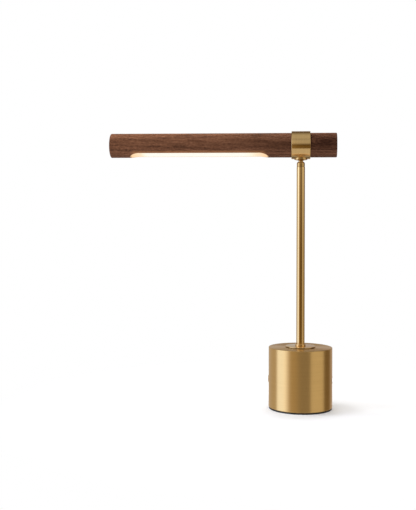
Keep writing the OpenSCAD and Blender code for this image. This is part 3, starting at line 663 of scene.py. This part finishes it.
# Turns a profile of (along, radius) points around Z, or around the bar's axis
def lathe(name, profile, steps, finish, body, replaced, aroundBar=False, closed=False):
    work = bmesh.new()
    rings = []
    for along, radius in profile:
        turns = 1 if radius < meshValues["point"] else steps
        ring = []
        for k in range(turns):
            angle = 2 * math.pi * k / turns
            a, b = radius * math.cos(angle), radius * math.sin(angle)
            ring.append(work.verts.new((along, a, barAxisZ + b) if aroundBar else (a, b, along)))
        rings.append(ring)
    for first, second in zip(rings, rings[1:] + (rings[:1] if closed else [])):
        for k in range(steps):
            corners = [first[k % len(first)], first[(k + 1) % len(first)],
                       second[(k + 1) % len(second)], second[k % len(second)]]
            corners = list(dict.fromkeys(corners))
            if len(corners) > 2:
                work.faces.new(corners)
    mesh = bpy.data.meshes.new(name)
    work.to_mesh(mesh)
    work.free()
    mesh.materials.append(finishes[finish])
    tidyMesh(mesh)
    piece = bpy.data.objects.new(name, mesh)
    bpy.context.scene.collection.objects.link(piece)
    keepPiece(piece, body, replaced)


# The walnut bar: a turned stick with rounded ends, a flat scooped along its foot, and its pocket
pocketLow, pocketHigh = boxInBar("light_channel")
pocketGap = 0.0001
barSizes = {
    "samples along": 330,
    "samples around": 152,
    "cap samples": 10,
    "edge samples": 6,
    "radius": barRadius,
    "left end": barLow.x,
    "right end": barHigh.x,
    "edge": barShape["edge"],
    "flat height": flatZ,
    "flat start": flatStart,
    "flat end": flatEnd,
    "ramp radius": barShape["rampRadius"],
    "softened edge": 0.0006,
    "merge within": 0.000005,
    "pocket left": pocketLow.x - pocketGap,
    "pocket right": pocketHigh.x + pocketGap,
    "pocket width": pocketHigh.y - pocketLow.y + pocketGap * 2,
    "pocket top": pocketHigh.z,
    "pocket overcut": 0.004,
    "slot floor": barRadius - 0.0025,
    "slot width": 0.0062,
    "slot height": 0.004,
    "slot sweep": math.radians(100),
    "slot steps": 40,
    "feed radius": 0.0022,
    "feed steps": 32,
}


def walnutStick(tree, v):
    # A sheet of points is bent into the stick, step by step along it and turn by turn around it
    last = v["samples along"] - 1
    capEnd = v["cap samples"]
    edgeEnd = capEnd + v["edge samples"]
    grid = tree.node("GeometryNodeMeshGrid", None,
                     {"Size X": 1.0, "Size Y": 1.0, "Vertices X": v["samples along"],
                      "Vertices Y": v["samples around"]})
    share, turn = tree.split(tree.node("GeometryNodeInputPosition"))[:2]
    step = (share + 0.5) * last
    angle = (turn + 0.5) * (2 * math.pi)
    inner = v["radius"] - v["edge"]
    firstTurn = tree.slide(step, capEnd, edgeEnd, 0, math.pi / 2)
    lastTurn = tree.slide(step, last - edgeEnd, last - capEnd, 0, math.pi / 2)
    radius = tree.slide(step, 0, capEnd, 0, inner) + firstTurn.join("SINE") * v["edge"] \
        - (1 - lastTurn.join("COSINE")) * v["edge"] - tree.slide(step, last - capEnd, last, 0, inner)
    straight = v["right end"] - v["left end"] - v["edge"] * 2
    x = v["left end"] + (1 - firstTurn.join("COSINE")) * v["edge"] \
        + tree.slide(step, edgeEnd, last - edgeEnd, 0, straight) + lastTurn.join("SINE") * v["edge"]
    # The flat, with a ramp of one radius at each end
    beyond = (v["flat start"] - x).join("MAXIMUM", x - v["flat end"]).join("MAXIMUM", 0.0)
    drop = v["ramp radius"] - (v["ramp radius"] ** 2 - beyond * beyond).join("MAXIMUM", 0.0) ** 0.5
    plane = v["flat height"] - drop
    z = (radius * angle.join("COSINE")).join("SMOOTH_MAX", plane, v["softened edge"])
    stick = tree.node("GeometryNodeSetPosition", None,
                      {"Geometry": grid, "Position": tree.joinUp(x, radius * angle.join("SINE"), z)})
    stick = tree.node("GeometryNodeMergeByDistance", None,
                      {"Geometry": stick, "Distance": v["merge within"]})
    # The pocket that holds the light's channel
    pocketLength = v["pocket right"] - v["pocket left"]
    pocketDepth = v["pocket top"] - v["flat height"] + v["pocket overcut"]
    pocketMiddle = tree.joinUp((v["pocket left"] + v["pocket right"]) * 0.5, 0.0,
                               v["pocket top"] - pocketDepth * 0.5)
    pocket = tree.node("GeometryNodeMeshCube", None,
                       {"Size": tree.joinUp(pocketLength, v["pocket width"], pocketDepth)})
    pocket = tree.node("GeometryNodeTransform", None, {"Geometry": pocket, "Translation": pocketMiddle})
    # The slot that the stem's tip runs in, swept around the bar, and the hole for the lead
    path = tree.node("GeometryNodeCurveArc", None,
                     {"Resolution": v["slot steps"], "Radius": v["slot floor"] + v["slot height"] * 0.5,
                      "Start Angle": v["slot sweep"] * -0.5, "Sweep Angle": v["slot sweep"]})
    section = tree.node("GeometryNodeCurvePrimitiveQuadrilateral", None,
                        {"Width": v["slot width"], "Height": v["slot height"]})
    slot = tree.node("GeometryNodeCurveToMesh", None,
                     {"Curve": path, "Profile Curve": section, "Fill Caps": True})
    slot = tree.node("GeometryNodeTransform", None,
                     {"Geometry": slot, "Rotation": (math.pi / 2, math.pi / 2, 0)})
    feed = tree.node("GeometryNodeMeshCylinder", None,
                     {"Vertices": v["feed steps"], "Radius": v["feed radius"], "Depth": v["slot floor"]})
    feed = tree.node("GeometryNodeTransform", None,
                     {"Geometry": feed, "Translation": tree.joinUp(0.0, 0.0, v["slot floor"] * -0.5)})
    cut = tree.node("GeometryNodeMeshBoolean", {"operation": "DIFFERENCE"},
                    {"Mesh 1": stick, "Mesh 2": [pocket, slot, feed]})
    return setInBar(tree, cut)


growPiece("walnutBar", barSizes, walnutStick, "walnut", "bar", "walnut_bar")
print("walnut bar grown")

# A flat block with round corners, drawn by sweeping a filleted rectangle up from the origin
def roundedBlock(tree, v):
    outline = tree.node("GeometryNodeCurvePrimitiveQuadrilateral", None,
                        {"Width": v["long"], "Height": v["wide"]})
    outline = tree.node("GeometryNodeFilletCurve", {"mode": "POLY"},
                        {"Curve": outline, "Count": v["corner steps"], "Radius": v["corner"]})
    path = tree.node("GeometryNodeCurvePrimitiveLine", None,
                     {"Start": (0, 0, 0), "End": tree.joinUp(0.0, 0.0, v["tall"])})
    return tree.node("GeometryNodeCurveToMesh", None,
                     {"Curve": path, "Profile Curve": outline, "Fill Caps": True})


# The diodes: packages with round corners, each with a low lens, in a row under the cover, all in the
# phosphor finish
emitterLow, emitterHigh = boxInBar("light_emitters")
diodeLength, lensHeight = 0.0035, 0.0001
diodeSizes = {
    "count": 18,
    "pitch": 0.0075,
    "long": diodeLength,
    "wide": emitterHigh.y - emitterLow.y,
    "tall": emitterHigh.z - emitterLow.z - lensHeight,
    "corner": 0.0004,
    "corner steps": 4,
    "lens radius": 0.0011,
    "lens height": lensHeight,
    "lens segments": 20,
    "lens rings": 10,
    "left": emitterLow.x + diodeLength / 2,
    "middle": (emitterHigh.y + emitterLow.y) / 2,
    "top": emitterHigh.z,
}


def diodeRow(tree, v):
    ball = tree.node("GeometryNodeMeshUVSphere", None,
                     {"Segments": v["lens segments"], "Rings": v["lens rings"],
                      "Radius": v["lens radius"]})
    flat = tree.joinUp(1.0, 1.0, v["lens height"] / v["lens radius"])
    lens = tree.node("GeometryNodeTransform", None, {"Geometry": ball, "Scale": flat})
    diode = tree.node("GeometryNodeMeshBoolean", {"operation": "UNION"},
                      {"Mesh 2": [roundedBlock(tree, v), lens]})
    row = tree.node("GeometryNodeMeshLine", None,
                    {"Count": v["count"], "Offset": tree.joinUp(v["pitch"], 0.0, 0.0),
                     "Start Location": tree.joinUp(v["left"], v["middle"], v["top"] - v["tall"])})
    row = tree.node("GeometryNodeInstanceOnPoints", None, {"Points": row, "Instance": diode})
    return setInBar(tree, row)


growPiece("diodeRow", diodeSizes, diodeRow, "phosphor", "bar", "light_emitters")

# The charging socket's contacts: four gold leaves side by side
contactLow, contactHigh, contactMiddle = boxOf("usb_contacts")
leafWidth = 0.001
contactSizes = {
    "count": 4,
    "long": contactHigh.x - contactLow.x,
    "wide": leafWidth,
    "tall": contactHigh.z - contactLow.z,
    "corner": 0.0003,
    "corner steps": 4,
    "middle": contactMiddle.x,
    "first": contactLow.y + leafWidth / 2,
    "last": contactHigh.y - leafWidth / 2,
    "foot": contactLow.z,
}


def contactRow(tree, v):
    row = tree.node("GeometryNodeMeshLine", {"mode": "END_POINTS"},
                    {"Count": v["count"],
                     "Start Location": tree.joinUp(v["middle"], v["first"], v["foot"]),
                     "Offset": tree.joinUp(v["middle"], v["last"], v["foot"])})
    return tree.node("GeometryNodeInstanceOnPoints", None,
                     {"Points": row, "Instance": roundedBlock(tree, v)})


growPiece("contactRow", contactSizes, contactRow, "goldFlash", "base", "usb_contacts")
print("diodes and contacts set in rows")

# The collar: a brushed band with eased edges, inside and out
collarValues = {"wall": 0.0016, "edge": 0.0005, "innerEdge": 0.0002, "edgeSteps": 5, "steps": 192}


def collarProfile(v):
    outer = (collarHigh.z - collarLow.z) / 2
    inner = outer - v["wall"]
    half = (collarHigh.x - collarLow.x) / 2
    side = [(half - v["innerEdge"], inner), (half, inner + v["innerEdge"])]
    for k in range(v["edgeSteps"] + 1):
        angle = math.pi / 2 * k / v["edgeSteps"]
        side.append((half - v["edge"] * (1 - math.cos(angle)),
                     outer - v["edge"] * (1 - math.sin(angle))))
    middle = collarMiddle.x
    return [(middle + x, r) for x, r in side] + [(middle - x, r) for x, r in reversed(side)]


lathe("collarBand", collarProfile(collarValues), collarValues["steps"], "bandBrass", "head",
      "collar_ring", aroundBar=True, closed=True)

# The seat is turned with its step, and the bead around the pole with a nearly upright side
beadValues = {"edge": 0.0003, "edgeSteps": 5, "crown": 0.00006, "steps": 96}


def boreOf(node):
    return min(math.hypot(v.co.x, v.co.y) for v in nodes[node].data.vertices)


# A quarter turn at the corner of a profile, from its top inwards to its side, or back below
def cornerProfile(v, along, radius, direction):
    steps = range(v["edgeSteps"] + 1)
    angles = [math.pi / 2 * k / v["edgeSteps"] for k in (steps if direction > 0 else reversed(steps))]
    return [(along - direction * v["edge"] * (1 - math.cos(a)), radius - v["edge"] * (1 - math.sin(a)))
            for a in angles]


def seatProfile(v):
    radius = (seatHigh.x - seatLow.x) / 2
    bore = boreOf("pole_disc")
    step = seatLow.z + v["stepHeight"]
    return [(seatLow.z, bore), (seatHigh.z, bore), *cornerProfile(v, seatHigh.z, radius, 1),
            (step, radius), (step, radius - v["stepInset"]), (seatLow.z, radius - v["stepInset"])]


def beadProfile(v):
    low, high, middle = boxOf("pole_bead")
    radius = (high.x - low.x) / 2
    bore = boreOf("pole_bead")
    return [(low.z, bore), (high.z, bore), *cornerProfile(v, high.z, radius - v["crown"], 1),
            (middle.z, radius), *cornerProfile(v, low.z, radius - v["crown"], -1)]


lathe("seatDisc", seatProfile(seatValues), seatValues["steps"], "seatBrass", "base",
      "pole_disc", closed=True)
lathe("footBead", beadProfile(beadValues), beadValues["steps"], "polishedBrass", "base",
      "pole_bead", closed=True)

# The foot: a rubber pad with a rounded rim and ring-shaped treads underneath
footValues = {
    "topEdge": 0.0003,
    "rim": 0.0006,
    "rimSteps": 4,
    "treads": 6,
    "treadDepth": 0.0006,
    "treadShare": 0.55,
    "treadSlope": 0.0003,
    "plainEdge": 0.004,
    "steps": 160,
}


def footProfile(v):
    low, high = boxOf("foot_pad")[:2]
    radius = (high.x - low.x) / 2
    profile = [(high.z, 0), (high.z, radius - v["topEdge"]), (high.z - v["topEdge"], radius)]
    for k in range(v["rimSteps"] + 1):
        angle = math.pi / 2 * k / v["rimSteps"]
        profile.append((low.z + v["rim"] * (1 - math.sin(angle)),
                        radius - v["rim"] * (1 - math.cos(angle))))
    pitch = (radius - v["plainEdge"]) / v["treads"]
    groove = low.z + v["treadDepth"]
    for k in range(v["treads"], 0, -1):
        edge = k * pitch
        floor = edge - pitch * (1 - v["treadShare"])
        profile += [(low.z, edge), (groove, edge - v["treadSlope"]),
                    (groove, floor + v["treadSlope"]), (low.z, floor)]
    return profile + [(low.z, 0)]


lathe("footTreads", footProfile(footValues), footValues["steps"], "blackRubber", "base",
      "foot_pad")
print("collar and foot turned")

# The studio: a pale floor, three soft lamps, and a room that the brass shows
floorValues = {"size": 12.0, "colour": (0.79, 0.80, 0.83), "toCamera": 0.20, "white": (0.12, 0.40)}


def makeFloor(v):
    mesh = bpy.data.meshes.new("floor")
    half = v["size"] / 2
    corners = [(-half, -half, 0), (half, -half, 0), (half, half, 0), (-half, half, 0)]
    mesh.from_pydata(corners, [], [(0, 1, 2, 3)])
    floor = bpy.data.objects.new("floor", mesh)
    bpy.context.scene.collection.objects.link(floor)
    material = bpy.data.materials.new("floorPaper")
    material.use_nodes = True
    tree = Tree(material.node_tree)
    diffuse = tree.node("ShaderNodeBsdfDiffuse", None, {"Color": (*v["colour"], 1)})
    seen = tree.node("ShaderNodeLightPath")
    lift = tree.node("ShaderNodeEmission", None,
                     {"Color": (1, 1, 1, 1), "Strength": seen * v["toCamera"]})
    both = tree.node("ShaderNodeAddShader", None, {0: diffuse, 1: lift})
    # Far from the lamp the paper is plain white to the camera, and from below it is clear
    white = tree.node("ShaderNodeEmission", None, {"Color": (1, 1, 1, 1), "Strength": 1.0})
    x, y = tree.split(tree.place())[:2]
    far = tree.ease((x * x + y * y) ** 0.5, *v["white"]) * seen
    paper = tree.node("ShaderNodeMixShader", None, {0: far, 1: both, 2: white})
    clear = tree.node("ShaderNodeBsdfTransparent")
    fromBelow = tree.node("ShaderNodeNewGeometry", out=6)
    paper = tree.node("ShaderNodeMixShader", None, {0: fromBelow, 1: paper, 2: clear})
    tree.node("ShaderNodeOutputMaterial", None, {0: paper})
    mesh.materials.append(material)
    floor.visible_glossy = False  # the brass shows the room's own table instead


makeFloor(floorValues)

# Bearings are in degrees to the right of the front
lampValues = {
    "key": {"bearing": -94.0, "height": 1.2, "distance": 0.46, "size": 0.36, "power": 6.4},
    "back": {"bearing": 182.0, "height": 1.2, "distance": 0.25, "size": 0.34, "power": 4.6},
    "fill": {"bearing": -25.0, "height": 0.6, "distance": 1.6, "size": 1.0, "power": 6.0},
}
lampColour = (1.0, 0.985, 0.96)
lampAim = (0, 0, 0.12)


def makeLamp(name, v):
    bearing = math.radians(v["bearing"])
    data = bpy.data.lights.new(name, "AREA")
    data.size = v["size"]
    data.energy = v["power"]
    data.color = lampColour
    lamp = bpy.data.objects.new(name, data)
    lamp.location = (math.sin(bearing) * v["distance"], -math.cos(bearing) * v["distance"], v["height"])
    lamp.rotation_euler = (Vector(lampAim) - lamp.location).to_track_quat("-Z", "Y").to_euler()
    lamp.visible_glossy = False  # the room has the softbox that the brass shows
    bpy.context.scene.collection.objects.link(lamp)


for lampName, values in lampValues.items():
    makeLamp(lampName, values)

# Walls are bands by bearing, and the ceiling's bands run from the front over the top.
# Each band has its two sides, how soft each side is, and the light that it adds
roomValues = {
    "dark": (0.075, 0.047, 0.012),
    "walls": [
        (-210, -93, 1, 10, (0.46, 0.46, 0.46)),  # pale wall behind and to the left
        (-94, -49, 5, 16, (1.16, 1.47, 2.22)),  # cool softbox
        (-62, -9, 8, 14, (0.24, 0.176, 0.078)),  # wall beside it
        (-6, 36, 10, 1, (0.040, 0.024, 0.003)),  # dark gap in front
        (37, 94, 1.2, 6, (0.465, 0.45, 0.395)),  # window wall to the right
        (98, 200, 8, 1, (0.105, 0.088, 0.064)),  # dim corner
        (135, 200, 8, 1, (0.30, 0.29, 0.31)),  # pale wall behind, to the right
    ],
    "wallTop": (55, 15),
    "ceilingFrom": (-4, 6),
    "ceiling": [
        (5, 47, 14, 6, (0.41, 0.45, 0.49)),
        (49, 108, 4, 30, (0.47, 0.50, 0.52)),
    ],
    "lowRoom": (0.06, 0.045, 0.022),
    "lowRoomFrom": (-3.0, -14.0),
    "table": (0.66, 0.64, 0.62),
    "tableEdge": (-31.0, -33.0),
    "tableFade": (-0.9, 0.2),  # the table dims from the front to the back, to tableBack
    "tableBack": 0.15,
    "tableGlow": (0.27, 0.125, 0.015),  # what the lamp itself throws on the table under it
    "glowFrom": (-73, -85),
}


def makeRoom(v):
    world = bpy.data.worlds.new("room")
    world.use_nodes = True
    bpy.context.scene.world = world
    tree = Tree(world.node_tree)
    x, y, z = tree.split(tree.node("ShaderNodeTexCoord", out=0))
    bearing = x.join("ARCTAN2", y * -1) * (180 / math.pi)
    overhead = z.join("ARCTAN2", y * -1) * (180 / math.pi)
    elevation = z.join("ARCSINE") * (180 / math.pi)

    def upTo(key):
        return tree.ease(elevation, *v[key])

    def add(light, share, colour):
        return tree.node("ShaderNodeVectorMath", {"operation": "MULTIPLY_ADD"},
                         {0: tree.joinUp(share, share, share), 1: colour, 2: light})

    def addBands(light, angle, share, bands):
        for low, high, softLow, softHigh, colour in bands:
            inside = tree.ease(angle, low - softLow, low + softLow) \
                * tree.ease(angle, high + softHigh, high - softHigh)
            light = add(light, inside * share, colour)
        return light

    light = addBands(tree.joinUp(*v["dark"]), bearing, upTo("wallTop"), v["walls"])
    light = addBands(light, overhead, upTo("ceilingFrom"), v["ceiling"])
    light = add(light, upTo("lowRoomFrom"), v["lowRoom"])
    near = tree.ease(y * -1, *v["tableFade"]) * (1 - v["tableBack"]) + v["tableBack"]
    table = add(tree.joinUp(0, 0, 0), near, v["table"])
    light = tree.blend(upTo("tableEdge"), light, table)
    light = add(light, upTo("glowFrom"), v["tableGlow"])
    seen = tree.node("ShaderNodeLightPath")
    background = tree.node("ShaderNodeBackground", None, {"Color": tree.blend(seen, light, (1, 1, 1))})
    tree.node("ShaderNodeOutputWorld", None, {0: background})


makeRoom(roomValues)
print("studio lit")
